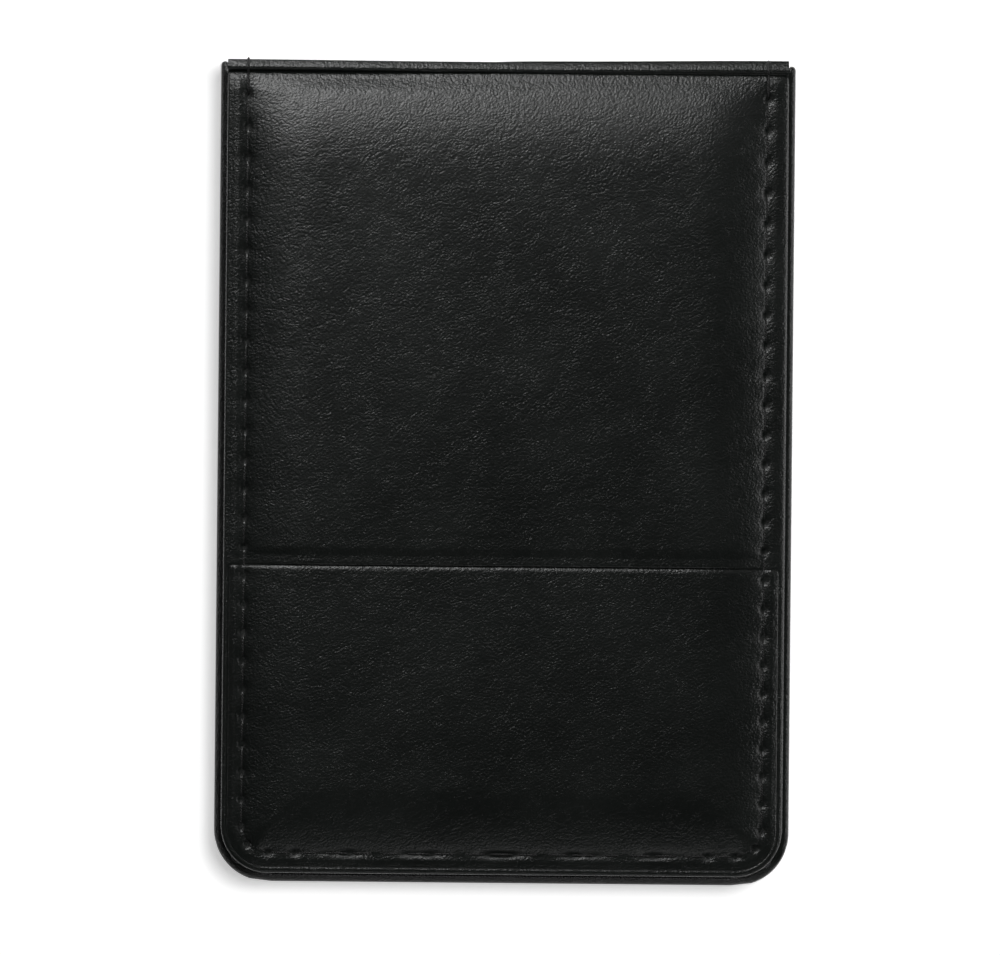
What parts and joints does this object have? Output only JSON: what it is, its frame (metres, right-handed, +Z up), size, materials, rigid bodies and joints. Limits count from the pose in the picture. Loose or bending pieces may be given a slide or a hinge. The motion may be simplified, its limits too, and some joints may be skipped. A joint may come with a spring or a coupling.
{
  "type": "phone wallet case",
  "caption": "Top-fold leather phone wallet: a padded lid with a card pocket closes over a gusseted phone pocket, and opens along a creased spine.",
  "frame": {"origin": "middle of the closed case's box, on the face of the back cover that it lies on", "axes": "+Z up through the lid, +Y to the spine, +X to the right of the closed lid"},
  "size_m": [0.099, 0.141, 0.0171],
  "materials": {
    "outer_leather": "fine pebbled grain, semi-gloss",
    "pocket_leather": "smooth, satin",
    "lining": "fine woven, matt",
    "board": "grey-brown bonded fibre board",
    "foam": "soft padding",
    "thread": "twisted polyester thread"
  },
  "bodies": {
    "back_cover": {"back_skin": "outer_leather", "back_board": "board", "back_lining": "lining", "gusset_left": "pocket_leather", "gusset_right": "pocket_leather", "gusset_bottom": "pocket_leather", "phone_pocket_panel": "pocket_leather", "phone_pocket_binding": "pocket_leather", "back_stitching": "thread", "phone_pocket_stitching": "thread"},
    "spine": {"spine_skin": "outer_leather", "spine_board": "board", "spine_lining": "lining", "spine_stitching": "thread"},
    "lid": {"lid_lining": "lining", "lid_board": "board", "lid_skin": "outer_leather", "lid_foam": "foam", "pocket_backing": "outer_leather", "card_pocket_welt": "outer_leather", "card_pocket_lining": "lining", "card_pocket_foam": "foam", "card_pocket_panel": "outer_leather", "lid_stitching": "thread", "slot_seam_lower": "pocket_leather", "slot_seam_upper": "pocket_leather", "card_slot_lower": "pocket_leather", "card_slot_upper": "pocket_leather", "slot_stitching": "thread"}
  },
  "joints": [
    {"name": "spine_fold", "type": "hinge", "parent": "back_cover", "child": "spine", "pos_m": [0, 0.0695, 0.0011], "axis": [-1, 0, 0], "range_deg": [0, 90]},
    {"name": "lid_fold", "type": "hinge", "parent": "spine", "child": "lid", "pos_m": [0, 0.0696, 0.0149], "axis": [-1, 0, 0], "range_deg": [0, 90]}
  ]
}
